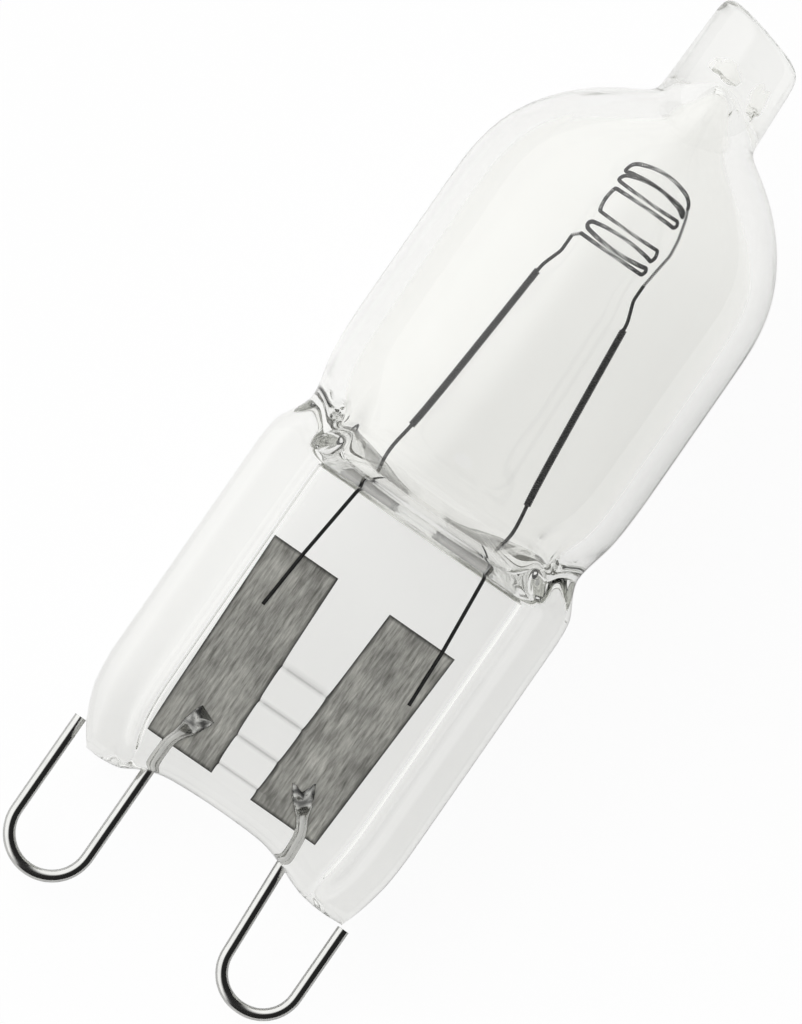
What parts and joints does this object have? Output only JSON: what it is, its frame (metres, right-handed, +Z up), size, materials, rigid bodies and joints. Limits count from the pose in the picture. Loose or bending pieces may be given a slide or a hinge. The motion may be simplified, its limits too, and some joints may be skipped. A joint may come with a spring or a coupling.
{
  "type": "halogen capsule lamp",
  "caption": "Clear quartz halogen capsule lamp with a pressed seal, wire loop contacts, sealing foils and an upright coiled filament, lying as it comes to rest.",
  "frame": {"origin": "middle of the lamp's bounding box, at the surface it lies on", "axes": "+Z up, +Y along the lying lamp from its wire loops to its sealed tip, +X across the pinch"},
  "size_m": [0.0136, 0.041, 0.0145],
  "materials": {
    "quartz": "clear, fire-polished",
    "foil": "thin rolled molybdenum, satin, streaked",
    "lead_wire": "drawn molybdenum wire, bright",
    "inner_wire": "dark drawn wire",
    "tungsten": "dark, finely coiled"
  },
  "bodies": {
    "root": {"quartz_envelope": "quartz", "left_foil": "foil", "right_foil": "foil", "left_lead_loop": "lead_wire", "right_lead_loop": "lead_wire", "left_inner_lead": "inner_wire", "right_inner_lead": "inner_wire", "left_leg_winding": "inner_wire", "right_leg_winding": "inner_wire", "filament": "tungsten"}
  },
  "joints": []
}
